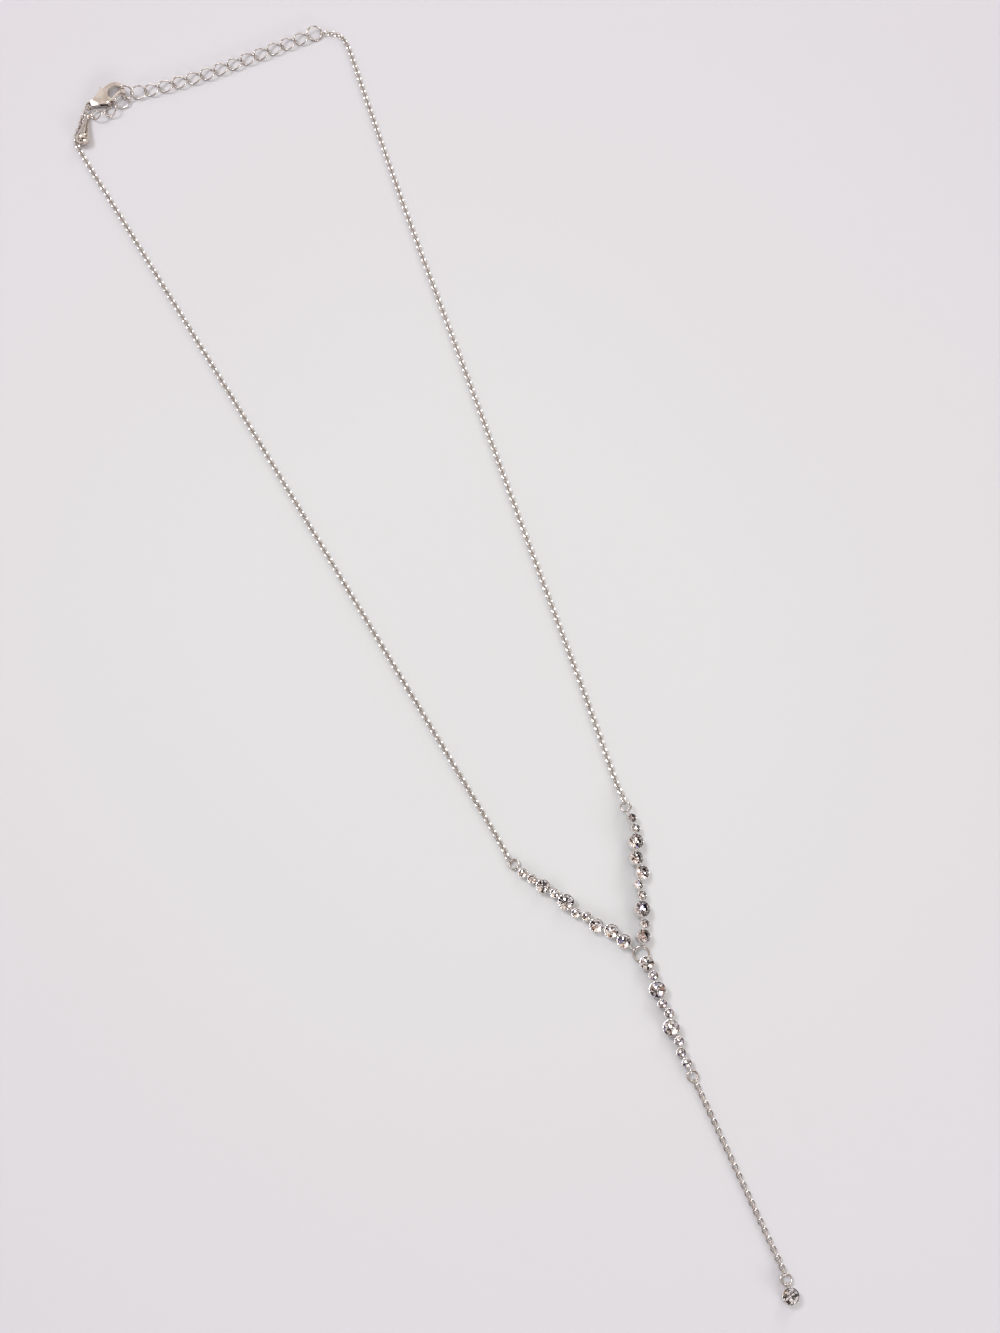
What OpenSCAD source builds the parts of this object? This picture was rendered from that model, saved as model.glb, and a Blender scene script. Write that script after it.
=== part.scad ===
// Y necklace with stone-set bars, laid flat. Drawn from the junction ring, then moved so that
// the middle of the whole lies over the origin. Y runs up to the clasp, Z up from the surface.

/* [Stones and cups] */
// Outer width of a large cup
cup_large = 3.5; // [3.4:0.05:3.6]
// Outer width of a medium cup
cup_medium = 3.05; // [3:0.05:3.15]
// Outer width of a small cup
cup_small = 2.1; // [2.05:0.05:2.2]
// Wall of a cup at its rim
cup_wall = 0.12; // [0.1:0.01:0.16]
// Metal under the point of a stone
cup_floor = 0.7; // [0.66:0.01:0.74]
// Width of a cup's foot against its rim
foot_share = 0.84; // [0.82:0.01:0.86]
// Gap between a stone and its cup
stone_gap = 0.03; // [0.02:0.01:0.04]
// Gap between the rims of two cups, bridged by a solder bar
cup_gap = 0.2; // [0.15:0.01:0.22]
// Depth of a stone's point for each mm of its radius
point_slope = 0.62; // [0.58:0.01:0.66]
// Height of a stone's crown for each mm of its radius
crown_slope = 0.38; // [0.3:0.01:0.42]
// Width of a stone's table against its girdle
table_share = 0.55; // [0.5:0.01:0.6]

/* [Bars] */
// Lean of the right bar's stones, away from the necklace
right_roll = 24; // [22:1:25]
// Lean of the drop bar's stones
drop_roll = 8; // [7:1:9]
// Lean of the end stone
end_roll = -8; // [-9:1:-7]
// Wire of the loops soldered on the bars
loop_wire = 0.3; // [0.28:0.01:0.3]
// Middle radius of those loops
loop_radius = 0.5; // [0.48:0.01:0.52]

/* [Rings] */
// Outer width of the ring that joins the three bars
junction_ring = 3.6; // [3.55:0.05:3.65]
// Wire of that ring
junction_wire = 0.44; // [0.42:0.01:0.46]
// Outer width of the rings between bars and chains
bar_ring = 2.5; // [2.4:0.1:2.6]
// Outer width of the ring at the top of the extender
extender_ring = 3.9; // [3.8:0.1:4]
// Outer width of the ring on the clasp's eye
clasp_ring = 2; // [1.96:0.02:2.04]
// Wire of that ring
clasp_ring_wire = 0.3; // [0.28:0.01:0.3]
// Wire of the rings
ring_wire = 0.4; // [0.36:0.02:0.42]

/* [Chains] */
// Wire of the fine chain
chain_wire = 0.26; // [0.25:0.01:0.26]
// Outer length of a fine link
chain_link_long = 1.7; // [1.69:0.01:1.72]
// Outer width of a fine link
chain_link_wide = 1.16; // [1.14:0.01:1.2]
// Links of the drop chain
drop_links = 43; // [43:2:43]
// Outer width of the two long chains, as tubes
chain_width = 1; // [0.9:0.05:1.1]
// Wire of the extender chain
extender_wire = 0.38; // [0.36:0.01:0.39]
// Outer length of an extender link
extender_link_long = 4.35; // [4.3:0.05:4.4]
// Outer width of an extender link
extender_link_wide = 3.4; // [3.2:0.1:3.4]
// Distance from one extender link to the next
extender_pitch = 3.48; // [3.47:0.01:3.49]

/* [Clasp] */
// Outer radius of the hook
hook_outer = 2.55; // [2.5:0.05:2.6]
// Inner radius of the hook
hook_inner = 1.7; // [1.65:0.05:1.75]
// Thickness of the clasp's body
clasp_thick = 1.3; // [1.2:0.05:1.35]
// Thickness of the lever
lever_thick = 0.5; // [0.45:0.05:0.55]
// Radius of the lever's pin
pin_radius = 0.26; // [0.24:0.01:0.28]
// Slope of the clasp, whose hook lies on a link
clasp_tilt = 5; // [5:0.5:5.5]

/* [Weight] */
// Length of the teardrop weight from the middle of its ball
weight_long = 8.4; // [8.2:0.1:8.4]
// Radius of the weight's round end
weight_radius = 1.6; // [1.5:0.05:1.6]

/* [Hidden] */
function size_of(letter) = letter == "L" ? cup_large : letter == "M" ? cup_medium : cup_small;

// Each bar from the junction outwards: cup size, and the turn from the bar's heading to the next cup
left_cups = [
    ["M", -5], ["M", 14], ["M", -10], ["S", 17], ["S", -12], ["L", -6], ["S", 5], ["M", -2], ["S", 2], ["S", 0]
];
right_cups = [
    ["M", -15], ["S", 10], ["L", -8], ["S", 15], ["S", -22], ["M", 20], ["M", -2], ["L", -8], ["S", 16], ["S", 0]
];
drop_cups = [
    ["M", 6], ["S", -6], ["L", -3], ["S", 14], ["S", -14], ["L", 9], ["S", -12], ["S", 7], ["S", 0]
];
end_cups = [["L", 0]];

// Bars: cups, middle of the first cup [x, y], heading, roll, and the turn and reach of the end loop
left_bar = [left_cups, [-2.1, 3.66], 120.2, 0, [-11, 1.65]];
right_bar = [right_cups, [1.54, 2.87], 68.6, right_roll, [16, 1.7]];
drop_bar = [drop_cups, [0.2, -2.48], -94.4, drop_roll, [1, 1.7]];
end_bar = [end_cups, [-3.8, -71.92], -108, end_roll, [180, 2.15]];
loop_z = loop_radius + loop_wire / 2;
stem_height = 0.4;
stem_radius = 0.18;

function bar_cups(bar) = bar[0];
function bar_start(bar) = bar[1];
function bar_heading(bar) = bar[2];
function bar_roll(bar) = bar[3];
function bar_loop(bar) = bar[4];

function step_to(turn, reach) = reach * [cos(turn), sin(turn)];
function cup_r(bar, i) = size_of(bar_cups(bar)[i][0]) / 2;
function last_cup(bar) = len(bar_cups(bar)) - 1;
// Middle of cup i in the bar's own frame, which starts at its first cup and looks along its heading
function cup_at(bar, i) = i == 0 ? [0, 0]
    : cup_at(bar, i - 1) + step_to(bar_cups(bar)[i - 1][1], cup_r(bar, i - 1) + cup_r(bar, i) + cup_gap);
function end_loop_at(bar) = cup_at(bar, last_cup(bar)) + step_to(bar_loop(bar)[0], bar_loop(bar)[1]);

// How far a rolled bar is lifted for the foot of its lowest cup to rest on the surface
function foot_height(bar, i) = loop_z * (1 - cos(bar_roll(bar)))
    + (cup_at(bar, i)[1] - sign(bar_roll(bar)) * foot_share * cup_r(bar, i)) * sin(bar_roll(bar));
function bar_lift(bar) = -min([for (i = [0:last_cup(bar)]) foot_height(bar, i)]);
function turned(p, angle) = [p[0] * cos(angle) - p[1] * sin(angle), p[0] * sin(angle) + p[1] * cos(angle)];
// A point of the bar's frame in the necklace's frame, at a height over the bar's feet
function bar_point(bar, p, height = loop_z) = let (
        roll = bar_roll(bar),
        over = height - loop_z,
        flat = bar_start(bar) + turned([p[0], p[1] * cos(roll) - over * sin(roll)], bar_heading(bar))
    ) [flat[0], flat[1], loop_z + bar_lift(bar) + p[1] * sin(roll) + over * cos(roll)];

// Rings: a point, the heading in which the ring slopes up from it, and the slope
function ring_way(ring) = [cos(ring[1]) * cos(ring[2]), sin(ring[1]) * cos(ring[2]), sin(ring[2])];
bar_ring_span = bar_ring - ring_wire;
function ring_end(ring) = ring[0] + bar_ring_span * ring_way(ring);
left_ring = [bar_point(left_bar, end_loop_at(left_bar)), 104, -5];
right_ring = [bar_point(right_bar, end_loop_at(right_bar)), 89, -14];
drop_ring = [bar_point(drop_bar, end_loop_at(drop_bar)), -92, -6];
end_ring = [bar_point(end_bar, end_loop_at(end_bar)), 76, -3];

// Junction ring: its middle, heading and slope, and where the two arms hang on it
junction = [[0, -0.1, 0.79], 17, 13.7];
junction_r = (junction_ring - junction_wire) / 2;
function junction_point(turn) = junction[0] + junction_r
    * (cos(turn) * ring_way(junction) + sin(turn) * [-sin(junction[1]), cos(junction[1]), 0]);
left_hang_at = 111;
right_hang_at = 23;
left_hang = junction_point(left_hang_at);
right_hang = junction_point(right_hang_at);
left_hang_turn = 8;
right_hang_turn = -20;
// The ring runs through the foot of the drop bar's first cup
tunnel_rise = 0.25;
tunnel_wide = 0.2;

// Stone in the frame of its cup
function floor_of(bar, i) = cup_floor + (i == 0 && bar == drop_bar ? tunnel_rise : 0);
function seat_of(r) = r - cup_wall;
girdle = 0.06;
rim_rise = 0.14;
rim_band = 0.26;
facets = 8;
star_share = 0.8;

// Routes of the long chains, from the bar's ring to the top
chain_z = 0.47;
left_route = [
    [-16.1, 29.75, chain_z], [-16.4, 36, chain_z], [-19.6, 71, chain_z], [-23, 107.6, chain_z],
    [-26.6, 146.2, chain_z], [-30.7, 186.8, chain_z], [-34, 218.6, chain_z], [-34.8, 226.5, chain_z],
    [-35.1, 229.5, chain_z], [-35, 231.4, chain_z], [-34.1, 233.3, chain_z], [-32.5, 235.2, chain_z],
    [-31.1, 237.1, chain_z], [-30, 238.1, 0.6]
];
right_route = [
    [11.2, 30.6, 0.9], [11.35, 33, 0.65], [11.6, 36, 0.51], [14.5, 59.4, chain_z], [18.6, 96.2, chain_z],
    [23.1, 135.1, chain_z], [27.7, 176.3, chain_z], [31.8, 208.8, chain_z], [34.2, 226.5, chain_z],
    [34.5, 229.7, chain_z], [34.1, 232.2, chain_z], [32.9, 233.9, 0.5], [30.9, 234.9, 0.6]
];
ring_spacing = 6;
tube_sides = 8;
link_sides = 6;
// Play between a chain's first link and the ring that it hangs on
end_play = 0.1;

// Route of the drop chain, between the wires of its two rings
drop_route = [ring_end(drop_ring), [-1.9, -38, 0.6], [-2.3, -54, 0.6], ring_end(end_ring)];
chain_half = (chain_link_long - chain_wire) / 2;
chain_reach = chain_half - (chain_wire + ring_wire) / 2 - end_play;

// Extender: the ring at its top, the straight run, and the links that hang at the clasp
extender_ring_at = [28.5, 235.8, 0.8];
extender_ring_tilt = 18;
extender_half = (extender_link_long - extender_wire) / 2;
extender_start = extender_ring_at - [(extender_ring - ring_wire) / 2, 0, 0];
extender_route = [extender_start, [1.3, 235.9, 0.78], [-8, 236.65, 0.78], [-14.8, 237.55, 0.78]];
extender_reach = extender_half - (extender_wire + ring_wire) / 2 - end_play;
run_links = 12;
// How far each end of an extender link is twisted from its middle
link_twist = 45;
// Links at the clasp: x, y and z of the middle, heading, rise and roll
clasp_links = [
    [-16.31, 237.74, 1.11, 170.2, 10.9, -30.2],
    [-19.35, 238.88, 1.44, 126.9, 5, 135.2],
    [-21.04, 237.01, 1.16, 180.3, 16.7, 143],
    [-24.01, 235.99, 1.06, 213.1, -6.1, 205.3],
    [-27.02, 236.08, 1.07, 171.7, -11.4, 30.6]
];

// Clasp, with its eye's middle at the origin of its own frame and the hook along X
eye_at = [-28.27, 239.62, 0.78];
clasp_heading = 1.5;
hook_at = [6.69, 0];
hook_from = -36;
eye_outer = 0.84;
eye_inner = 0.5;
eye_thick = 0.5;
// Outline of the body's back and front edges, between the eye and the hook
back_edge = [[0.6, 0.5], [1.3, 0.85], [2.23, 1.25], [3.25, 1.78], [4.48, 2.22], [6, 2.46]];
front_edge = [[5.29, -1.3], [4.95, -1.9], [3.9, -2.25], [2.8, -1.65], [1.13, -0.98], [0.4, -0.6]];
hook_opening = [[5.8, -4.35], [5.19, -1.01], [4.83, -0.36], [5.18, 0.56]];
lever_pivot = [4.35, -1.72];
pivot_round = 0.55;
slot_from = 2.2;
slot_to = 5.35;
slot_reach = 4;
slot_gap = 0.06;
bore_gap = 0.04;
pin_gap = 0.02;
hook_cut = 4;
// Half length of the cuts that run right through the clasp
through = 2;
gate_reach = 4.05;
gate_half = 0.28;
gate_angle = 21.5;
tab_angle = 94;
tab_reach = 5;
tab_half = 0.32;
rivet_radius = 0.42;
rivet_high = 0.1;
clasp_ring_at = [-28.8, 239.12, 0.97];
clasp_ring_heading = 230;
clasp_ring_roll = -65;

// Teardrop weight: place of its ball, its heading, and the heading of the eye from the ball
ball_at = [-29.76, 236.69, 0.68];
weight_heading = -120.5;
weight_eye_heading = -22;
weight_eye_reach = 0.9;
weight_eye_wire = 0.28;
weight_eye_outer = 1.3;
ball_radius = 0.5;
neck_radius = 0.3;
neck_from = 0.3;
// Turns between which the round end is drawn, from the end of the cone to just before its tip
round_end = [-8:12:88];

// Moves the middle of the whole over the origin
origin_shift = [0.3, -84.63, 0];

// Closed or open sweep of a round wire along a path, its outward side away from the path's middle
function unit(v) = v / norm(v);
function wire_ring(at, along, out, radius, sides) = let (
        side = unit(out - along * (out * along)),
        up = cross(along, side)
    ) [for (j = [0:sides - 1]) at + radius * (cos(360 * j / sides) * side + sin(360 * j / sides) * up)];

module swept_loop(path, radius, sides) {
    n = len(path);
    points = [for (k = [0:n - 1]) let (along = unit(path[(k + 1) % n] - path[(k + n - 1) % n]))
        each wire_ring(path[k], along, path[k], radius, sides)];
    faces = [for (k = [0:n - 1], j = [0:sides - 1]) let (m = (k + 1) % n, i = (j + 1) % sides)
        each [[k * sides + j, m * sides + i, k * sides + i], [k * sides + j, m * sides + j, m * sides + i]]];
    polyhedron(points, faces);
}

module swept_tube(path, radius, sides) {
    n = len(path);
    points = [for (k = [0:n - 1]) let (along = unit(path[min(k + 1, n - 1)] - path[max(k - 1, 0)]))
        each wire_ring(path[k], along, cross([0, 0, 1], along) + [0, 0, tan(180 / sides)], radius, sides)];
    walls = [for (k = [0:n - 2], j = [0:sides - 1]) let (i = (j + 1) % sides)
        [k * sides + j, (k + 1) * sides + j, (k + 1) * sides + i, k * sides + i]];
    caps = [
        [for (j = [0:sides - 1]) j],
        [for (j = [0:sides - 1]) (n - 1) * sides + sides - 1 - j]
    ];
    polyhedron(points, concat(walls, caps));
}

// Points along a route: smooth between its own points, and at a distance along its straight pieces
function curve_point(a, b, c, d, t) = 0.5 * (2 * b + (c - a) * t + (2 * a - 5 * b + 4 * c - d) * t * t
    + (3 * b - a - 3 * c + d) * t * t * t);
function smooth_route(route, spacing) = let (last = len(route) - 1) concat(
    [for (k = [0:last - 1]) let (steps = max(1, round(norm(route[k + 1] - route[k]) / spacing)))
        for (s = [0:steps - 1]) curve_point(
            route[max(k - 1, 0)], route[k], route[k + 1], route[min(k + 2, last)], s / steps)],
    [route[last]]
);
function route_length(route, k = 0) = k >= len(route) - 1 ? 0
    : norm(route[k + 1] - route[k]) + route_length(route, k + 1);
function along_route(route, distance, k = 0) = let (piece = route[k + 1] - route[k])
    distance <= norm(piece) || k >= len(route) - 2
    ? [route[k] + unit(piece) * distance, unit(piece)]
    : along_route(route, distance - norm(piece), k + 1);

// Middle line of a fine link, straight-sided with round ends
function fine_link_path() = let (
        half_wide = (chain_link_wide - chain_wire) / 2,
        straight = chain_half - half_wide
    ) [for (side = [1, -1], turn = [-75:30:75]) [
        side * (straight + half_wide * cos(turn)), side * half_wide * sin(turn), 0]];
// Middle line of an extender link, an oval whose ends are twisted against each other
function extender_link_path() = let (half_wide = (extender_link_wide - extender_wire) / 2)
    [for (turn = [0:22.5:337.5]) let (twist = -link_twist * cos(turn)) [
        extender_half * cos(turn),
        half_wide * sin(turn) * cos(twist),
        half_wide * sin(turn) * sin(twist)
    ]];

module looking_along(at, direction) {
    translate(at)
        rotate([0, 0, atan2(direction[1], direction[0])])
            rotate([0, -asin(direction[2]), 0]) children();
}

module round_ring(outer, wire) {
    rotate_extrude($fn = 64) translate([(outer - wire) / 2, 0]) circle(d = wire, $fn = 32);
}

// Ring that starts at a point and spans towards a heading and a rise
module spanning_ring(ring) {
    color("silver") translate((ring[0] + ring_end(ring)) / 2)
        rotate([0, -ring[2], ring[1]]) round_ring(bar_ring, ring_wire);
}

module junction_round(wire) {
    translate(junction[0]) rotate([0, -junction[2], junction[1]])
        round_ring(2 * junction_r + wire, wire);
}

module cup(r, floor) {
    seat = seat_of(r);
    seat_z = floor + point_slope * seat;
    rim = seat_z + rim_rise;
    rotate_extrude($fn = 64) polygon([
        [0, 0], [foot_share * r, 0], [r, rim - rim_band], [r, rim], [seat, rim], [seat, seat_z], [0, floor]
    ]);
}

module stone(r, floor) {
    girdle_r = seat_of(r) - stone_gap;
    crown = crown_slope * girdle_r;
    table_r = table_share * girdle_r;
    star_r = star_share * girdle_r;
    star_rise = crown * (girdle_r - star_r * cos(180 / facets)) / (girdle_r - table_r);
    full = 360 / facets;
    function round_points(count, turn, radius, z) =
        [for (k = [0:count - 1]) [radius * cos(360 * k / count + turn), radius * sin(360 * k / count + turn), z]];
    points = concat(
        round_points(facets, -full / 2, table_r, girdle + crown),
        round_points(facets, 0, star_r, girdle + star_rise),
        round_points(2 * facets, 0, girdle_r, girdle),
        round_points(2 * facets, 0, girdle_r, 0),
        [[0, 0, -point_slope * girdle_r]]
    );
    star = facets;
    upper = 2 * facets;
    lower = 4 * facets;
    point = 6 * facets;
    g = 2 * facets;
    faces = concat(
        [[for (k = [facets - 1:-1:0]) k]],
        [for (k = [0:facets - 1]) [k, (k + 1) % facets, star + k]],
        [for (k = [0:facets - 1]) let (before = (k + facets - 1) % facets)
            [k, star + k, upper + (2 * k + g - 1) % g, star + before]],
        [for (k = [0:facets - 1]) [star + k, upper + 2 * k, upper + (2 * k + g - 1) % g]],
        [for (k = [0:facets - 1]) [star + k, upper + 2 * k + 1, upper + 2 * k]],
        [for (k = [0:g - 1]) [upper + k, upper + (k + 1) % g, lower + (k + 1) % g, lower + k]],
        [for (k = [0:g - 1]) [lower + k, lower + (k + 1) % g, point]]
    );
    color("white") translate([0, 0, floor + point_slope * seat_of(r) + stone_gap])
        polyhedron(points, faces);
}

module on_bar(bar) {
    translate([bar_start(bar)[0], bar_start(bar)[1], loop_z + bar_lift(bar)])
        rotate([0, 0, bar_heading(bar)])
            rotate([bar_roll(bar), 0, 0])
                translate([0, 0, -loop_z]) children();
}

// Upright loop around a point, turned from the stem that carries it on a cup
module soldered_loop(bar, i, at, turn = 0) {
    foot = bar_point(bar, cup_at(bar, i), stem_height);
    along = unit(foot - at);
    translate(at) rotate([90, 0, atan2(along[1], along[0]) + turn]) round_ring(2 * loop_z, loop_wire);
    looking_along(at + loop_radius * along, along) rotate([0, 90, 0])
        cylinder(r = stem_radius, h = norm(foot - at) - loop_radius - foot_share * cup_r(bar, i), $fn = 32);
}

module solder_bar(bar, i) {
    turn = bar_cups(bar)[i][1];
    here = cup_at(bar, i) + step_to(turn, foot_share * cup_r(bar, i));
    there = cup_at(bar, i + 1) - step_to(turn, foot_share * cup_r(bar, i + 1));
    translate([here[0], here[1], stem_height]) rotate([0, 90, turn])
        cylinder(r = stem_radius, h = norm(there - here), $fn = 32);
}

module bare_setting(bar) {
    on_bar(bar) {
        for (i = [0:last_cup(bar)]) translate(cup_at(bar, i)) cup(cup_r(bar, i), floor_of(bar, i));
        if (last_cup(bar) > 0)
            for (i = [0:last_cup(bar) - 1]) solder_bar(bar, i);
    }
    soldered_loop(bar, last_cup(bar), bar_point(bar, end_loop_at(bar)));
}

module setting_left() {
    color("silver") {
        bare_setting(left_bar);
        soldered_loop(left_bar, 0, left_hang, left_hang_turn);
    }
}

module setting_right() {
    color("silver") {
        bare_setting(right_bar);
        soldered_loop(right_bar, 0, right_hang, right_hang_turn);
    }
}

module setting_drop() {
    color("silver") difference() {
        bare_setting(drop_bar);
        junction_round(junction_wire + tunnel_wide);
    }
}

module set_stone(bar, i) {
    on_bar(bar) translate(cup_at(bar, i)) stone(cup_r(bar, i), floor_of(bar, i));
}

module ring_junction() {
    color("silver") junction_round(junction_wire);
}

module ring_extender() {
    color("silver") translate(extender_ring_at) rotate([extender_ring_tilt, 0, 0])
        round_ring(extender_ring, ring_wire);
}

module long_chain(route) {
    color("silver") swept_tube(smooth_route(route, ring_spacing), chain_width / 2, tube_sides);
}

module chain_drop() {
    pitch = (route_length(drop_route) - 2 * chain_reach) / (drop_links - 1);
    color("silver") for (i = [0:drop_links - 1]) {
        place = along_route(drop_route, chain_reach + pitch * i);
        looking_along(place[0], place[1]) rotate([i % 2 == 0 ? 90 : 0, 0, 0])
            swept_loop(fine_link_path(), chain_wire / 2, link_sides);
    }
}

module chain_extender() {
    color("silver") {
        for (i = [0:run_links - 1]) {
            place = along_route(extender_route, extender_reach + extender_pitch * i);
            looking_along(place[0], -place[1]) swept_loop(extender_link_path(), extender_wire / 2, link_sides);
        }
        for (row = clasp_links)
            translate([row[0], row[1], row[2]]) rotate([0, -row[4], row[3]]) rotate([row[5], 0, 0])
                swept_loop(extender_link_path(), extender_wire / 2, link_sides);
    }
}

module on_clasp() {
    translate(eye_at) rotate([0, -clasp_tilt, clasp_heading]) children();
}

module clasp_outline() {
    difference() {
        union() {
            translate(hook_at) circle(hook_outer, $fn = 96);
            polygon(concat(back_edge, [hook_at], front_edge));
            translate(lever_pivot) circle(pivot_round, $fn = 48);
        }
        translate(hook_at) circle(hook_inner, $fn = 96);
        polygon(concat([hook_at, hook_at + hook_cut * [cos(hook_from), sin(hook_from)]], hook_opening));
    }
}

module clasp_body() {
    color("silver") on_clasp() difference() {
        union() {
            translate([0, 0, -clasp_thick / 2]) linear_extrude(clasp_thick) clasp_outline();
            translate([0, 0, -eye_thick / 2]) cylinder(r = eye_outer, h = eye_thick, $fn = 64);
        }
        cylinder(r = eye_inner, h = 2 * through, center = true, $fn = 48);
        translate([slot_from, -slot_reach, -lever_thick / 2 - slot_gap])
            cube([slot_to - slot_from, 2 * slot_reach, lever_thick + 2 * slot_gap]);
        translate([lever_pivot[0], lever_pivot[1], 0])
            cylinder(r = pin_radius + pin_gap, h = 2 * through, center = true, $fn = 48);
    }
}

module clasp_pin() {
    color("silver") on_clasp() translate([lever_pivot[0], lever_pivot[1], 0]) {
        cylinder(r = pin_radius, h = clasp_thick + rivet_high, center = true, $fn = 48);
        for (side = [0, 1]) mirror([0, 0, side])
            translate([0, 0, clasp_thick / 2 + pin_gap]) cylinder(r = rivet_radius, h = rivet_high, $fn = 48);
    }
}

module lever_arm(angle, reach, half) {
    rotate([0, 0, angle]) {
        translate([0, -half]) square([reach - half, 2 * half]);
        translate([reach - half, 0]) circle(half, $fn = 32);
    }
}

module clasp_lever() {
    color("silver") on_clasp() translate([lever_pivot[0], lever_pivot[1], -lever_thick / 2])
        difference() {
            linear_extrude(lever_thick) {
                circle(pivot_round, $fn = 48);
                lever_arm(gate_angle, gate_reach, gate_half);
                lever_arm(tab_angle, tab_reach, tab_half);
            }
            cylinder(r = pin_radius + bore_gap, h = 2 * through, center = true, $fn = 48);
        }
}

module ring_clasp() {
    color("silver") translate(clasp_ring_at) rotate([0, 0, clasp_ring_heading])
        rotate([clasp_ring_roll, 0, 0]) round_ring(clasp_ring, clasp_ring_wire);
}

// Weight lying on the surface: its ball, its cone with a round end, and its eye
module weight() {
    far = weight_long - weight_radius;
    slope = asin((weight_radius - ball_at[2]) / far);
    color("silver") translate(ball_at) {
        rotate([0, 0, weight_heading]) rotate([0, 90 - slope, 0]) rotate_extrude($fn = 64) polygon(concat(
            [[0, neck_from], [neck_radius, neck_from]],
            [for (turn = round_end) [weight_radius * cos(turn), far + weight_radius * sin(turn)]],
            [[0, weight_long]]
        ));
        sphere(ball_radius, $fn = 48);
        rotate([0, 0, weight_eye_heading]) translate([weight_eye_reach, 0, 0]) rotate([90, 0, 0])
            round_ring(weight_eye_outer, weight_eye_wire);
    }
}

module placed() {
    translate(origin_shift) children();
}

for (i = [1:len(left_cups)])
    placed() set_stone(left_bar, i - 1);
for (i = [1:len(right_cups)])
    placed() set_stone(right_bar, i - 1);
for (i = [1:len(drop_cups)])
    placed() set_stone(drop_bar, i - 1);
placed() set_stone(end_bar, 0);  // stone_end
placed() setting_left();
placed() setting_right();
placed() setting_drop();
placed() color("silver") bare_setting(end_bar);  // setting_end
placed() ring_junction();
placed() spanning_ring(left_ring);  // ring_left
placed() spanning_ring(right_ring);  // ring_right
placed() spanning_ring(drop_ring);  // ring_drop
placed() spanning_ring(end_ring);  // ring_end
placed() ring_extender();
placed() ring_clasp();
placed() long_chain(left_route);  // chain_left
placed() long_chain(right_route);  // chain_right
placed() chain_drop();
placed() chain_extender();
placed() clasp_body();
placed() clasp_lever();
placed() clasp_pin();
placed() weight();
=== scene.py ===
"""Y necklace with stone-set bars, lying on a pale table, as in its photograph."""

import math

import bmesh
import bpy
from mathutils import Matrix, Vector


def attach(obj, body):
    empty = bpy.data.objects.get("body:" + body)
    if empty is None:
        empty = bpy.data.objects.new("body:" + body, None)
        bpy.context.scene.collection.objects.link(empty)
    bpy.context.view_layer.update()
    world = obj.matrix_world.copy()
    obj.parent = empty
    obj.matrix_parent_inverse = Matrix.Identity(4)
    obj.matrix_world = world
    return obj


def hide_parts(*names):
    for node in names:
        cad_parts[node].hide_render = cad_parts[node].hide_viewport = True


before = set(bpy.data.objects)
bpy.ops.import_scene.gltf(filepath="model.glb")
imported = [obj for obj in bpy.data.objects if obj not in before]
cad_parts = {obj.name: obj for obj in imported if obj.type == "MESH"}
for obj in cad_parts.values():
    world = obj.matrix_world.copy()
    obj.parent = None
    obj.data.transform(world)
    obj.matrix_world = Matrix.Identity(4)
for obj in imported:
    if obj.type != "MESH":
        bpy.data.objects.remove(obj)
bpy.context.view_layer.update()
SCENE = bpy.context.scene

# The settings of the stone bars. Each bar is a row of small pressed brass cups of three widths,
# soldered to each other by short bars, with a wire loop soldered at each end, and the whole is
# rhodium plated. The walls are lightly fluted, and so are the rims, rolled in over the stones.
MM = 0.001
MIDDLE = Vector((0.3, -84.63, 0))  # mm, moves the junction ring's own place into the frame
CUP_RADIUS = {"L": 1.75, "M": 1.525, "S": 1.05}
CUP_GAP = 0.2
CUP_FLOOR = 0.7
FOOT_SHARE = 0.84
LOOP_HEIGHT = 0.65
LOOP_RADIUS = 0.5
LOOP_WIRE = 0.3
STEM_HEIGHT = 0.4
STEM_SINK, BRIDGE_SINK = 0.12, 0.02  # mm, how far a loop's stem and a bar between cups go in
STEM_RADII, BRIDGE_RADII = (0.15, 0.18), (0.16, 0.22)  # mm, in their middle and at their ends
BARS = {
    "left": dict(
        cups="MMMSSLSMSS", turns=(-5, 14, -10, 17, -12, -6, 5, -2, 2),
        start=(-2.1, 3.66), heading=120.2, roll=0, lift=0,
        loop=(-11, 1.65), hang=((-0.957, 1.150, 0.656), 8)),
    "right": dict(
        cups="MSLSSMMLSS", turns=(-15, 10, -8, 15, -22, 20, -2, -8, 16),
        start=(1.54, 2.87), heading=68.6, roll=24, lift=0.895587,
        loop=(16, 1.7), hang=((1.171, 0.904, 1.134), -20)),
    "drop": dict(
        cups="MSLSSLSSS", turns=(6, -6, -3, 14, -14, 9, -12, 7),
        start=(0.2, -2.48), heading=-94.4, roll=8, lift=0.246951,
        loop=(1, 1.7), hang=None),
    "end": dict(
        cups="L", turns=(),
        start=(-3.8, -71.92), heading=-108, roll=-8, lift=0.198259,
        loop=(180, 2.15), hang=None),
}
TUNNEL_RISE = 0.25  # mm, more height for the cup whose foot the junction ring runs through
TUNNEL_PLAY = 0.16  # mm, how much wider the tunnel is than the ring's wire
JUNCTION = dict(middle=(0, -0.1, 0.79), turn=(0, -13.7, 17), radius=1.58, wire=0.44)
HALF_SEAM = 0.012  # mm, half of the cut in a jump ring


def placed(spot=(0, 0, 0), turn=(0, 0, 0)):
    """A place in the necklace: turned about X, then Y, then Z, in degrees, and moved, in mm."""
    x, y, z = (math.radians(angle) for angle in turn)
    return (Matrix.Translation(spot) @ Matrix.Rotation(z, 4, "Z") @ Matrix.Rotation(y, 4, "Y")
            @ Matrix.Rotation(x, 4, "X"))


def bar_place(bar):
    return (placed((*bar["start"], LOOP_HEIGHT + bar["lift"]), (bar["roll"], 0, bar["heading"]))
            @ Matrix.Translation((0, 0, -LOOP_HEIGHT)))


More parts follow.
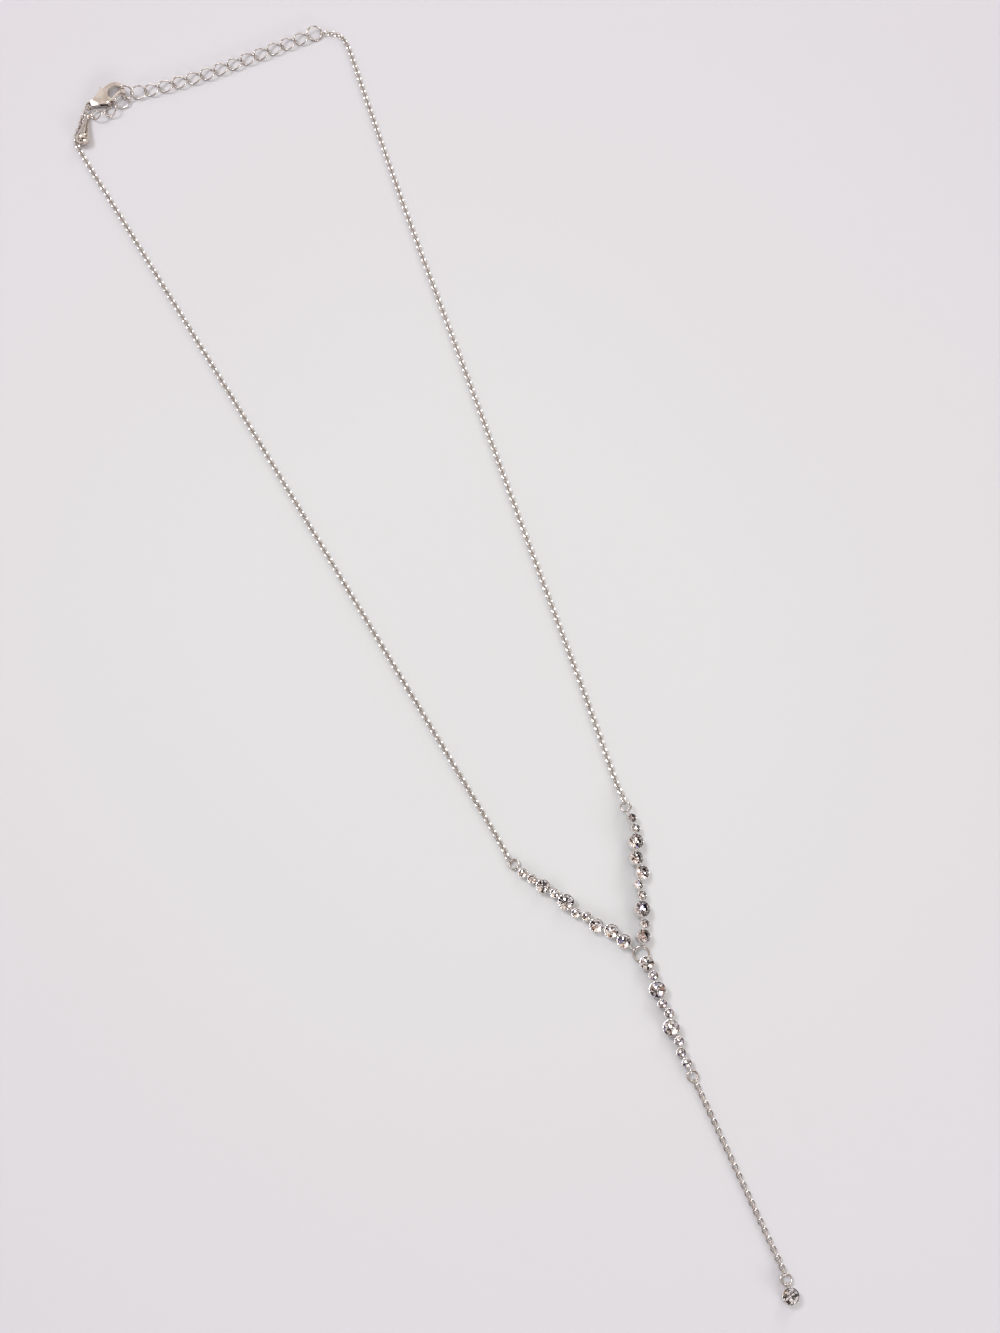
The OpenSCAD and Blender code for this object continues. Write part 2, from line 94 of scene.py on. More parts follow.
def flat_way(turn):
    """Direction in the plane at a turn in degrees."""
    return Vector((math.cos(math.radians(turn)), math.sin(math.radians(turn)), 0))


def cup_spots(bar):
    """Middles of a bar's cups in the bar's own plane, their radii, and the end loop's middle."""
    radii = [CUP_RADIUS[letter] for letter in bar["cups"]]
    spots = [Vector((0, 0, 0))]
    for i, turn in enumerate(bar["turns"]):
        spots.append(spots[-1] + (radii[i] + radii[i + 1] + CUP_GAP) * flat_way(turn))
    turn, reach = bar["loop"]
    return spots, radii, spots[-1] + reach * flat_way(turn)


def add_sweep(bm, path, radii, sides=12, closed=False, side=None):
    """Round wire along a path, with a radius at each point. Open wires get flat ends."""
    count = len(path)
    rings = []
    for k, at in enumerate(path):
        after = path[(k + 1) % count] if closed or k < count - 1 else path[k]
        before = path[k - 1] if closed or k > 0 else path[k]
        along = (after - before).normalized()
        across = side
        if side is None:
            across = Vector((0, 0, 1)) if abs(along.z) < 0.9 else Vector((1, 0, 0))
        across = (across - along * along.dot(across)).normalized()
        other = along.cross(across)
        rings.append([bm.verts.new(at + radii[k] * (math.cos(a) * across + math.sin(a) * other))
                      for a in (2 * math.pi * j / sides for j in range(sides))])
    for k in range(count if closed else count - 1):
        here, there = rings[k], rings[(k + 1) % count]
        for j in range(sides):
            i = (j + 1) % sides
            bm.faces.new((here[j], here[i], there[i], there[j]))
    if not closed:
        bm.faces.new(list(reversed(rings[0])))
        bm.faces.new(rings[-1])


def add_ring(bm, place, radius, wire, steps=56, sides=14, seam=None):
    """Round wire ring. A cut jump ring has a fine seam at the given turn, its ends just rounded."""
    thick = wire / 2
    if seam is None:
        turns = [2 * math.pi * k / steps for k in range(steps)]
        radii = [thick] * steps
    else:
        half_seam = HALF_SEAM / radius
        run = [half_seam, half_seam * 1.6, half_seam * 3]
        span = 2 * math.pi
        turns = run + [span * k / steps for k in range(2, steps - 1)]
        turns = [t + math.radians(seam) for t in turns + [span - t for t in reversed(run)]]
        end = [thick * 0.9, thick * 0.975]
        radii = end + [thick] * (len(turns) - 4) + end[::-1]
    path = [place @ Vector((radius * math.cos(t), radius * math.sin(t), 0)) for t in turns]
    up = place.to_3x3() @ Vector((0, 0, 1))
    add_sweep(bm, path, radii, sides, closed=seam is None, side=up)


def mesh_of(bm, name):
    mesh = bpy.data.meshes.new(name)
    bm.normal_update()
    bm.to_mesh(mesh)
    bm.free()
    return mesh


def finish_piece(name, mesh, materials, body, nodes, smooth_under=50):
    """Makes a piece, in metres and for its CAD nodes, of a mesh drawn in mm from the junction."""
    mesh.transform(Matrix.Scale(MM, 4) @ Matrix.Translation(MIDDLE))
    mesh.materials.clear()
    for material in materials:
        mesh.materials.append(material)
    mesh.shade_smooth()
    if smooth_under < 180:
        mesh.set_sharp_from_angle(angle=math.radians(smooth_under))
    piece = bpy.data.objects.new(name, mesh)
    SCENE.collection.objects.link(piece)
    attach(piece, body)
    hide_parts(*nodes)
    return piece


def evaluated_mesh(holder):
    """The mesh that an object's modifiers make. The object itself is removed."""
    bpy.context.view_layer.update()
    evaluated = holder.evaluated_get(bpy.context.evaluated_depsgraph_get())
    mesh = bpy.data.meshes.new_from_object(evaluated)
    bpy.data.objects.remove(holder)
    return mesh


def fill(node, sockets):
    """Links or sets a node's inputs."""
    for key, value in sockets.items():
        if isinstance(value, bpy.types.NodeSocket):
            node.id_data.links.new(value, node.inputs[key])
        else:
            node.inputs[key].default_value = value


def step(tree, kind, sockets=None, **settings):
    """Adds a node with its settings and its inputs, and gives its outputs."""
    node = tree.nodes.new(kind)
    for key, value in settings.items():
        setattr(node, key, value)
    fill(node, sockets or {})
    return node.outputs


def reckon(tree, operation, *values):
    """Math node on numbers or sockets."""
    return step(tree, "ShaderNodeMath", dict(enumerate(values)), operation=operation)[0]


def remap(tree, value, source, target=(0.0, 1.0)):
    """Moves a value from one range into another."""
    return step(tree, "ShaderNodeMapRange", {
        "Value": value, "From Min": source[0], "From Max": source[1],
        "To Min": target[0], "To Max": target[1]})["Result"]


def noise(tree, at, scale, detail, **more):
    sockets = {"Vector": at, "Scale": scale, "Detail": detail, **more}
    return step(tree, "ShaderNodeTexNoise", sockets)["Fac"]


def linear(hex_colour):
    """sRGB hex to the linear colour that a shader takes."""
    parts = [int(hex_colour[i:i + 2], 16) / 255 for i in (1, 3, 5)]
    return (*(c / 12.92 if c <= 0.04045 else ((c + 0.055) / 1.055) ** 2.4 for c in parts), 1)


def shades(tree, value, stops, interpolation="LINEAR"):
    """Colour ramp: stops are (place, linear colour)."""
    ramp = tree.nodes.new("ShaderNodeValToRGB")
    ramp.color_ramp.interpolation = interpolation
    elements = ramp.color_ramp.elements
    for place, colour in stops[1:-1]:
        elements.new(place).color = colour
    elements[0].position, elements[0].color = stops[0]
    elements[-1].position, elements[-1].color = stops[-1]
    tree.links.new(value, ramp.inputs["Fac"])
    return ramp.outputs["Color"]


def new_material(name):
    """A material, its node tree and its shader."""
    material = bpy.data.materials.new(name)
    material.use_nodes = True
    tree = material.node_tree
    return material, tree, tree.nodes["Principled BSDF"]


def rhodium(name, bright, deep, rough, cloud_mm, pit_mm, pit_depth):
    """Rhodium plate: cool white, warmer where it is thin, with polishing haze and fine pits."""
    material, tree, shader = new_material(name)
    at = step(tree, "ShaderNodeTexCoord")["Object"]
    cloud = noise(tree, at, 1 / (cloud_mm * MM), 4.0)
    haze = noise(tree, at, 2.3 / (cloud_mm * MM), 6.0)
    pits = noise(tree, at, 1 / (pit_mm * MM), 2.0)
    bump = step(tree, "ShaderNodeBump", {
        "Height": pits, "Strength": 0.35, "Distance": pit_depth * MM})["Normal"]
    fill(shader, {
        "Base Color": shades(tree, cloud, [(0.35, linear(deep)), (0.6, linear(bright))]),
        "Roughness": remap(tree, haze, (0.3, 0.75), rough), "Normal": bump, "Metallic": 1.0})
    return material


# Pressed cups: the plate is smooth, with the slight waviness of stamped sheet.
cup_plate = rhodium("cup_plate", "#F5F3F2", "#DED8D4", (0.08, 0.2), 1.3, 0.22, 0.012)

# The outline of a cup, from the middle of its foot up its wall, over the rolled rim and down into
# its pit. Each row gives radius and height, both as a share of the cup's radius and a length in
# mm, so that one outline fits all widths. Then come the flutes' depth and the rise with the foot.
BACK_SLOPE = 0.62  # of a stone's pointed back and of the pit that it sits in
CUP_WALL = 0.12
RIM = (BACK_SLOPE, CUP_FLOOR - BACK_SLOPE * CUP_WALL + 0.14)
RIM_BAND = 0.07  # mm under the rim's top, where the flutes go down as well as in
CUP_OUTLINE = [
    (0, 0, 0, 0, 0, 0),
    (0.84, -0.06, 0, 0, 0, 0),
    (0.84, -0.01, 0, 0.05, 0.3, 0),
    (0.866, -0.02, 0.11, 0.1, 0.9, 0.2),
    (0.91, -0.02, 0.31, 0.2, 1, 0.5),
    (0.96, -0.01, 0.5, 0.31, 0.9, 0.8),
    (0.995, 0, 0.6, 0.4, 0.2, 1),
    (1, 0, RIM[0], RIM[1] - 0.28, 0, 1),
    (1, 0, RIM[0], RIM[1] - 0.06, 0.8, 1),
    (1, -0.02, RIM[0], RIM[1] - 0.02, 1, 1),
    (1, -0.06, RIM[0], RIM[1], 1.4, 1),
    (1, -0.12, RIM[0], RIM[1] - 0.005, 0.8, 1),
    (1, -0.15, RIM[0], RIM[1] - 0.03, 0, 1),
    (1, -0.135, RIM[0], RIM[1] - 0.1, 0, 1),
    (1, -0.125, RIM[0], RIM[1] - 0.15, 0, 1),
    (0, 0, 0, CUP_FLOOR, 0, 1),
]
FLUTES = 16
FLUTE_DEPTH = 0.045
FLUTE_WAVE = (0, 0.5, 1, 0.5)


def pattern(name, points, faces, grown, raised):
    """A shape for a cup of no width, with how its points grow with the radius and with the foot."""
    mesh = bpy.data.meshes.new(name)
    mesh.from_pydata(points, [], faces)
    grows = mesh.attributes.new("grows", "FLOAT_VECTOR", "POINT")
    grows.data.foreach_set("vector", [c for point in grown for c in point])
    rises = mesh.attributes.new("rises", "FLOAT", "POINT")
    rises.data.foreach_set("value", raised)
    mesh.update()
    return bpy.data.objects.new(name, mesh)


def cup_pattern():
    """The cup's outline turned round its middle, with the flutes pressed in."""
    segments = FLUTES * len(FLUTE_WAVE)
    points, grown, raised, rings = [], [], [], []
    for share_r, add_r, share_z, add_z, flute, rise in CUP_OUTLINE:
        alone = share_r == 0 and add_r == 0
        ring = []
        for j in range(1 if alone else segments):
            turn = 2 * math.pi * j / segments
            dip = FLUTE_DEPTH * flute * FLUTE_WAVE[j % len(FLUTE_WAVE)]
            ring.append(len(points))
            points.append(((add_r - dip) * math.cos(turn), (add_r - dip) * math.sin(turn),
                           add_z - dip * (add_z > RIM[1] - RIM_BAND)))
            grown.append((share_r * math.cos(turn), share_r * math.sin(turn), share_z))
            raised.append(float(rise))
        rings.append(ring)
    faces = []
    for here, there in zip(rings, rings[1:]):
        for j in range(segments):
            i = (j + 1) % segments
            if len(here) == 1:
                faces.append((here[0], there[i], there[j]))
            elif len(there) == 1:
                faces.append((here[j], here[i], there[0]))
            else:
                faces.append((here[j], here[i], there[i], there[j]))
    return pattern("cup_pattern", points, faces, grown, raised)


def new_group(name, *inputs):
    """Geometry nodes with a geometry in and out, and more inputs as name, kind and first value."""
    tree = bpy.data.node_groups.new(name, "GeometryNodeTree")
    for key, kind, value in (("Geometry", "Geometry", None), *inputs):
        socket = tree.interface.new_socket(key, in_out="INPUT", socket_type="NodeSocket" + kind)
        if value is not None:
            socket.default_value = value
    tree.interface.new_socket("Geometry", in_out="OUTPUT", socket_type="NodeSocketGeometry")
    return tree


def named(tree, key, kind="FLOAT"):
    return step(tree, "GeometryNodeInputNamedAttribute", {"Name": key}, data_type=kind)["Attribute"]


def set_on(tree, points, shape, rotation):
    """An object's mesh on each point, as real geometry."""
    shape = step(tree, "GeometryNodeObjectInfo", {"Object": shape})["Geometry"]
    copies = step(tree, "GeometryNodeInstanceOnPoints", {
        "Points": points, "Instance": shape, "Rotation": rotation})["Instances"]
    return step(tree, "GeometryNodeRealizeInstances", {"Geometry": copies})["Geometry"]


def close_group(tree, geometry, finish):
    done = step(tree, "GeometryNodeSetMaterial", {"Geometry": geometry, "Material": finish})
    step(tree, "NodeGroupOutput", {"Geometry": done["Geometry"]})
    return tree


def along_the_bar():
    """Geometry nodes: a pattern on each point of a bar, turned by its spin, grown to its radius."""
    tree = new_group("along_the_bar", ("Pattern", "Object", None),
                     ("Taller foot", "Float", TUNNEL_RISE), ("Finish", "Material", None))
    given = step(tree, "NodeGroupInput")
    spin, radius, tall, rises = (named(tree, key) for key in ("spin", "radius", "tall", "rises"))
    grows = named(tree, "grows", "FLOAT_VECTOR")
    turn = step(tree, "ShaderNodeCombineXYZ", {"Z": spin})["Vector"]
    turned = step(tree, "FunctionNodeEulerToRotation", {"Euler": turn})["Rotation"]
    real = set_on(tree, given["Geometry"], given["Pattern"], turned)
    growth = step(tree, "ShaderNodeVectorRotate", {"Vector": grows, "Angle": spin},
                  rotation_type="Z_AXIS")["Vector"]
    growth = step(tree, "ShaderNodeVectorMath", {0: growth, "Scale": radius},
                  operation="SCALE")["Vector"]
    lift = reckon(tree, "MULTIPLY", reckon(tree, "MULTIPLY", tall, rises), given["Taller foot"])
    lift = step(tree, "ShaderNodeCombineXYZ", {"Z": lift})["Vector"]
    offset = step(tree, "ShaderNodeVectorMath", {0: growth, 1: lift}, operation="ADD")["Vector"]
    grown = step(tree, "GeometryNodeSetPosition", {"Geometry": real, "Offset": offset})["Geometry"]
    return close_group(tree, grown, given["Finish"])


def run_nodes(name, mesh, tree, inputs):
    """Runs a node tree on a mesh with its named inputs, and gives the plain mesh that comes out."""
    holder = bpy.data.objects.new(name, mesh)
    SCENE.collection.objects.link(holder)
    modifier = holder.modifiers.new(tree.name, "NODES")
    modifier.node_group = tree
    for item in tree.interface.items_tree:
        if item.in_out == "INPUT" and item.name in inputs:
            modifier[item.identifier] = inputs[item.name]
    return evaluated_mesh(holder)


def bar_points(bar, spins):
    spots, radii, _ = cup_spots(bar)
    mesh = bpy.data.meshes.new("bar_points")
    mesh.from_pydata([tuple(spot) for spot in spots], [], [])
    tall = [float(bar is BARS["drop"] and i == 0) for i in range(len(radii))]
    for key, values in (("radius", radii), ("spin", spins), ("tall", tall)):
        mesh.attributes.new(key, "FLOAT", "POINT").data.foreach_set("value", values)
    return mesh


def add_mesh(bm, mesh, place):
    mesh.transform(place)
    bm.from_mesh(mesh)


def solder(bm, place, a, b, radii):
    """Short soldered bar, thin in its middle, whose ends flare into the cups' walls."""
    thin, wide = radii
    flare = thin + 0.4 * (wide - thin)
    shares = (0, 0.12, 0.3, 0.5, 0.7, 0.88, 1)
    add_sweep(bm, [place @ (a + (b - a) * share) for share in shares],
              [wide, flare, thin, thin, thin, flare, wide])


def soldered_loop(bm, place, cup_spot, radius, at, turn):
    """Upright wire loop around a point, with the stem that ties it to its cup."""
    foot = place @ (cup_spot + Vector((0, 0, STEM_HEIGHT)))
    along = (foot - at).normalized()
    heading = math.degrees(math.atan2(along.y, along.x)) + turn
    add_ring(bm, placed(at, (90, 0, heading)), LOOP_RADIUS, LOOP_WIRE, 36, 12)
    reach = (foot - at).length - FOOT_SHARE * radius + STEM_SINK
    solder(bm, Matrix.Identity(4), at + along * LOOP_RADIUS, at + along * reach, STEM_RADII)


CUPS = cup_pattern()
BAR_NODES = along_the_bar()
for bar_name, bar in BARS.items():
    spots, radii, loop = cup_spots(bar)
    place = bar_place(bar)
    cups = run_nodes("cups_" + bar_name, bar_points(bar, [0.0] * len(spots)), BAR_NODES,
                     {"Pattern": CUPS, "Finish": cup_plate})
    bm = bmesh.new()
    add_mesh(bm, cups, place)
    if bar_name == "drop":  # the tunnel for the junction ring, cut through the first cup's foot
        cutter = bmesh.new()
        add_ring(cutter, placed(JUNCTION["middle"], JUNCTION["turn"]), JUNCTION["radius"],
                 JUNCTION["wire"] + TUNNEL_PLAY)
        row, tunnel = (bpy.data.objects.new(key, mesh_of(part, key))
                       for key, part in (("row", bm), ("tunnel", cutter)))
        for o in (row, tunnel):
            SCENE.collection.objects.link(o)
        cut = row.modifiers.new("tunnel", "BOOLEAN")
        cut.object, cut.operation, cut.solver = tunnel, "DIFFERENCE", "EXACT"
        bm = bmesh.new()
        bm.from_mesh(evaluated_mesh(row))
        bpy.data.objects.remove(tunnel)
    rise = Vector((0, 0, STEM_HEIGHT))
    for i in range(len(spots) - 1):
        way = (spots[i + 1] - spots[i]).normalized()
        solder(bm, place, spots[i] + way * (FOOT_SHARE * radii[i] - BRIDGE_SINK) + rise,
               spots[i + 1] - way * (FOOT_SHARE * radii[i + 1] - BRIDGE_SINK) + rise,
               BRIDGE_RADII)
    soldered_loop(bm, place, spots[-1], radii[-1], place @ (loop + Vector((0, 0, LOOP_HEIGHT))), 0)
    if bar["hang"]:
        soldered_loop(bm, place, spots[0], radii[0], Vector(bar["hang"][0]), bar["hang"][1])
    setting = finish_piece("setting_" + bar_name + "_plated", mesh_of(bm, "setting"), [cup_plate],
                           "necklace", ["setting_" + bar_name], 38)

# The stones: clear lead glass chatons, pressed and polished, with a table, eight star, eight
# bezel and sixteen girdle facets over a pointed back. The back is silvered, so each back facet
# works as a small mirror, with painted glints and painted dark reflections in its colour.
GIRDLE = (BACK_SLOPE, CUP_FLOOR - BACK_SLOPE * CUP_WALL + 0.03)  # height: share of radius, mm
STONE_INSET = 0.15  # mm between the outer width of the cup and the stone's girdle
STAR_SHARE, TABLE_SHARE, INNER_SHARE = 0.8, 0.55, 0.24  # of the girdle's radius
CROWN, GIRDLE_EDGE = 0.376, 0.06  # the crown's height as a share of it, and the edge in mm


def stone_pattern():
    """Chaton of no width, with how it grows: its sizes are shares of the girdle's radius."""
    points, grown = [], []

    def corner(share, turn, height_share, height):
        """share and height_share are of the girdle's radius, which is the cup's less the inset."""
        c, s = math.cos(math.radians(turn)), math.sin(math.radians(turn))
        points.append((-STONE_INSET * share * c, -STONE_INSET * share * s,
                       GIRDLE[1] + height - STONE_INSET * height_share))
        grown.append((share * c, share * s, GIRDLE[0] + height_share))
        return len(points) - 1

    star_rise = CROWN * (1 - STAR_SHARE * math.cos(math.radians(22.5))) / (1 - TABLE_SHARE)
    table = [corner(TABLE_SHARE, 45 * k - 22.5, CROWN, GIRDLE_EDGE) for k in range(8)]
    star = [corner(STAR_SHARE, 45 * k, star_rise, GIRDLE_EDGE) for k in range(8)]
    upper = [corner(1, 22.5 * k, 0, GIRDLE_EDGE) for k in range(16)]
    lower = [corner(1, 22.5 * k, 0, 0) for k in range(16)]
    inner_depth = -BACK_SLOPE + BACK_SLOPE * INNER_SHARE * math.cos(math.radians(22.5))
    inner = [corner(INNER_SHARE, 45 * k + 22.5, inner_depth, 0) for k in range(8)]
    point = corner(0, 0, -BACK_SLOPE, 0)
    faces = [list(table)]
    for k in range(8):
        after, before = (k + 1) % 8, (k - 1) % 8
        faces += [(table[after], table[k], star[k]),
                  (table[k], star[before], upper[2 * k - 1], star[k]),
                  (star[k], upper[2 * k - 1], upper[2 * k]),
                  (star[k], upper[2 * k], upper[2 * k + 1])]
    for k in range(16):
        faces.append((upper[k], lower[k], lower[(k + 1) % 16], upper[(k + 1) % 16]))
    back_from = len(faces)
    for k in range(8):
        faces += [(point, inner[k], lower[2 * k], inner[k - 1]),
                  (inner[k], lower[2 * k + 1], lower[2 * k]),
                  (inner[k], lower[(2 * k + 2) % 16], lower[2 * k + 1])]
    stone = pattern("stone_pattern", points, faces, grown, [1.0] * len(points))
    return stone, back_from, len(faces)


def glass(name):
    """Clear lead glass: faint cool cast, polish with a few soft scratches."""
    material, tree, shader = new_material(name)
    at = step(tree, "ShaderNodeTexCoord")["Object"]
    cast = noise(tree, at, 700.0, 1.0)
    rubs = noise(tree, at, 2600.0, 3.0)
    fill(shader, {
        "Base Color": shades(tree, cast, [(0.3, linear("#F7F4FB")), (0.7, linear("#FFFFFF"))]),
        "Roughness": remap(tree, rubs, (0.55, 0.8), (0.0, 0.02)),
        "Transmission Weight": 1.0, "IOR": 1.56})
    return material


# The facet tones are painted glints and painted dark reflections in the silvered back's colour.
CELLS_BY_FACING, CELLS_BY_METRE = 7.0, 350.0  # how fast a facet's tone changes


def silvering_with_painted_glints(name):
    """Silvered back under lacquer: one mirror tone for each facet, by its direction and place.
    The tones are painted dark reflections, painted highlights, and painted rose, straw and violet
    glints as cut glass throws."""
    material, tree, shader = new_material(name)
    at = step(tree, "ShaderNodeTexCoord")["Object"]
    facing = step(tree, "ShaderNodeNewGeometry")["True Normal"]
    place = step(tree, "ShaderNodeVectorMath", {0: at, "Scale": CELLS_BY_METRE},
                 operation="SCALE")["Vector"]
    place = step(tree, "ShaderNodeVectorMath", {0: facing, 1: (CELLS_BY_FACING,) * 3, 2: place},
                 operation="MULTIPLY_ADD")["Vector"]
    cells = step(tree, "ShaderNodeTexVoronoi", {"Vector": place, "Scale": 1.0})["Color"]
    pick = step(tree, "ShaderNodeSeparateColor", {"Color": cells})["Red"]
    colour = shades(tree, pick, [
        (0.0, linear("#2A2220")), (0.2, linear("#BDB5B1")), (0.28, linear("#FFFAF6")),
        (0.6, linear("#D3B1A1")), (0.66, linear("#FFFFFF")), (0.8, linear("#FFFBEF")),
        (0.9, linear("#B4B3E8")), (0.93, linear("#A8A19D")), (1.0, linear("#A8A19D"))], "CONSTANT")
    fill(shader, {"Base Color": colour, "Metallic": 1.0, "Roughness": 0.01})
    return material


# The silvered back's colour holds painted highlights, painted glints and painted dark reflections.
cut_glass = glass("cut_glass")
silvered_back_painted_glints = silvering_with_painted_glints("silvered_back_painted_glints")
STONES, BACK_FROM, FACES = stone_pattern()
for bar_name, bar in BARS.items():
    count = len(bar["cups"])
    spins = [math.radians((i * 37 + 11 * len(bar_name)) % 45) for i in range(count)]
    mesh = run_nodes("stones_" + bar_name, bar_points(bar, spins), BAR_NODES,
                     {"Pattern": STONES, "Finish": cut_glass})
    mesh.transform(bar_place(bar))
    nodes = [f"stone_{bar_name}_{i + 1}" for i in range(count)]
    if bar_name == "end":
        nodes = ["stone_end"]
    stones = finish_piece("stones_" + bar_name, mesh, [cut_glass, silvered_back_painted_glints], "necklace",
                          nodes, 1)
    for i, facet in enumerate(stones.data.polygons):
        facet.material_index = int(i % FACES >= BACK_FROM)
        facet.use_smooth = False

# The jump rings: round rhodium-plated wire, bent and closed, each with a fine cut where its ends
# meet. The junction ring joins the three bars, the others tie bars, chains, extender and clasp.
ring_plate = rhodium("ring_plate", "#D6D0CB", "#B3A89F", (0.05, 0.14), 1.0, 0.16, 0.01)


def spanning(near, far):
    """Place of a ring whose wire's middle runs through two points across it."""
    near, far = Vector(near), Vector(far)
    way = far - near
    rise = math.degrees(math.asin(way.z / way.length))
    return placed((near + far) / 2, (0, -rise, math.degrees(math.atan2(way.y, way.x))))


SMALL_RING = (1.05, 0.4)  # mm, radius to the wire's middle, and the wire
RINGS = {
    "ring_junction": (placed(JUNCTION["middle"], JUNCTION["turn"]), JUNCTION["radius"],
                      JUNCTION["wire"], 168),
    "ring_left": (spanning((-15.2413, 26.9016, 0.65), (-15.7474, 28.9315, 0.467)),
                  *SMALL_RING, 62),
    "ring_right": (spanning((10.7737, 27.9746, 1.796), (10.8093, 30.0119, 1.288)),
                   *SMALL_RING, -70),
    "ring_drop": (spanning((-1.61864, -25.4855, 0.890), (-1.69153, -27.5727, 0.671)),
                  *SMALL_RING, 80),
    "ring_end": (spanning((-3.13561, -69.8752, 0.848), (-2.62827, -67.8404, 0.738)),
                 *SMALL_RING, -95),
    "ring_extender": (placed((28.5, 235.8, 0.8), (18, 0, 0)), 1.75, 0.4, -60),
    "ring_clasp": (placed((-28.8, 239.12, 0.97), (-65, 0, 230)), 0.85, 0.3, 100),
}
for name, (place, radius, wire, seam) in RINGS.items():
    bm = bmesh.new()
    add_ring(bm, place, radius, wire, seam=seam)
    ring = finish_piece(name + "_wire", mesh_of(bm, name), [ring_plate], "necklace", [name])

# The fine chain: oval cable links of rhodium-plated wire, each at a right angle to the next but
# for a slight sway. Two long runs go round the neck, and a short one hangs from the stone drop to
# the end stone.
chain_plate = rhodium("chain_plate", "#E8E1DC", "#CBC0B7", (0.11, 0.21), 0.8, 0.12, 0.008)
LINK_LONG, LINK_WIDE, LINK_WIRE = 1.7, 1.24, 0.27


def wire_link(name, path, wire, sides):
    """Closed wire link as an object of its own, for the geometry nodes to set out."""
    bm = bmesh.new()
    add_sweep(bm, path, [wire / 2] * len(path), sides, closed=True, side=Vector((0, 0, 1)))
    return bpy.data.objects.new(name, mesh_of(bm, name))


def fine_link():
    """Plain oval link of the fine chains."""
    half_long, half_wide = (LINK_LONG - LINK_WIRE) / 2, (LINK_WIDE - LINK_WIRE) / 2
    path = [Vector((half_long * math.cos(t), half_wide * math.sin(t), 0))
            for t in (2 * math.pi * k / 12 for k in range(12))]
    return wire_link("fine_link", path, LINK_WIRE, 6)


def links_along():
    """Geometry nodes: links along a line at even spacing, each rolled on, with some random sway."""
    tree = new_group(
        "links_along", ("Link", "Object", None), ("Links", "Int", 2),
        ("First link at", "Float", 0.0), ("Spacing", "Float", 1.0), ("First roll", "Float", 0.0),
        ("Roll to the next", "Float", 0.0), ("Sway", "Float", 0.0), ("Finish", "Material", None))
    given = step(tree, "NodeGroupInput")
    line = step(tree, "GeometryNodeMeshToCurve", {"Mesh": given["Geometry"]})["Curve"]
    number = step(tree, "GeometryNodeInputIndex")["Index"]
    reach = reckon(tree, "MULTIPLY_ADD", number, given["Spacing"], given["First link at"])
    there = step(tree, "GeometryNodeSampleCurve", {"Curves": line, "Length": reach}, mode="LENGTH",
                 use_all_curves=True)
    seats = step(tree, "GeometryNodeMeshLine", {"Count": given["Links"]}, mode="OFFSET")["Mesh"]
    seats = step(tree, "GeometryNodeSetPosition", {
        "Geometry": seats, "Position": there["Position"]})["Geometry"]
    roll = reckon(tree, "MULTIPLY_ADD", number, given["Roll to the next"], given["First roll"])
    lean = reckon(tree, "SINE", reckon(tree, "MULTIPLY", roll, 2.0))
    sway = step(tree, "FunctionNodeRandomValue", {"ID": number, "Seed": 5}, data_type="FLOAT")[1]
    sway = reckon(tree, "MULTIPLY", lean, reckon(tree, "MULTIPLY", sway, given["Sway"]))
    roll = reckon(tree, "SUBTRACT", roll, sway)
    heading = step(tree, "FunctionNodeAlignRotationToVector", {"Vector": there["Tangent"]},
                   axis="X", pivot_axis="Z")["Rotation"]
    slope = step(tree, "FunctionNodeAlignRotationToVector", {
        "Rotation": heading, "Vector": there["Tangent"]}, axis="X", pivot_axis="Y")["Rotation"]
    rolled = step(tree, "ShaderNodeCombineXYZ", {"X": roll})["Vector"]
    rolled = step(tree, "FunctionNodeEulerToRotation", {"Euler": rolled})["Rotation"]
    turned = step(tree, "FunctionNodeRotateRotation", {"Rotation": slope, "Rotate By": rolled},
                  rotation_space="LOCAL")["Rotation"]
    kept = step(tree, "GeometryNodeStoreNamedAttribute", {
        "Geometry": seats, "Name": "way", "Value": turned},
        data_type="QUATERNION", domain="POINT")["Geometry"]
    real = set_on(tree, kept, given["Link"], named(tree, "way", "QUATERNION"))
    return close_group(tree, real, given["Finish"])


def line_mesh(points):
    mesh = bpy.data.meshes.new("route")
    edges = [(k, k + 1) for k in range(len(points) - 1)]
    mesh.from_pydata([tuple(p) for p in points], edges, [])
    return mesh


def smooth_route(route, spacing=0.8):
    """Points of a smooth line through a route's own points."""
    route = [Vector(p) for p in route]
    last = len(route) - 1
    line = []
    for k in range(last):
        a, b, c, d = (route[max(k - 1, 0)], route[k], route[k + 1], route[min(k + 2, last)])
        steps = max(1, round((c - b).length / spacing))
        for s in range(steps):
            t = s / steps
            line.append(0.5 * (2 * b + (c - a) * t + (2 * a - 5 * b + 4 * c - d) * t ** 2
                               + (3 * b - a - 3 * c + d) * t ** 3))
    return line + [route[-1]]


def length_of(line):
    return sum((b - a).length for a, b in zip(line, line[1:]))


FLAT = 0.483  # mm, height of the middle of a chain that lies on the table
LEFT_ROUTE = [
    (-15.747, 28.932, 0.475), (-16.1, 29.75, FLAT), (-16.4, 36, FLAT), (-19.6, 71, FLAT),
    (-23, 107.6, FLAT), (-26.6, 146.2, FLAT), (-30.7, 186.8, FLAT), (-34, 218.6, FLAT),
    (-34.8, 226.5, FLAT), (-35.02, 229.5, FLAT), (-34.95, 231.4, FLAT), (-34.1, 233.3, FLAT),
    (-32.5, 235.2, FLAT), (-31.1, 237.1, FLAT), (-30, 238.1, 0.6), (-29.303, 238.443, 0.863)]
RIGHT_ROUTE = [
    (10.809, 30.012, 1.288), (11.2, 30.6, 0.9), (11.35, 33, 0.65), (11.6, 36, 0.51),
    (14.5, 59.4, FLAT), (18.6, 96.2, FLAT), (23.1, 135.1, FLAT), (27.7, 176.3, FLAT),
    (31.8, 208.8, FLAT), (34.17, 226.5, FLAT), (34.44, 229.7, FLAT), (34.06, 232.2, FLAT),
    (32.9, 233.9, 0.5), (30.9, 234.9, 0.6), (30.134, 235.204, 0.606)]
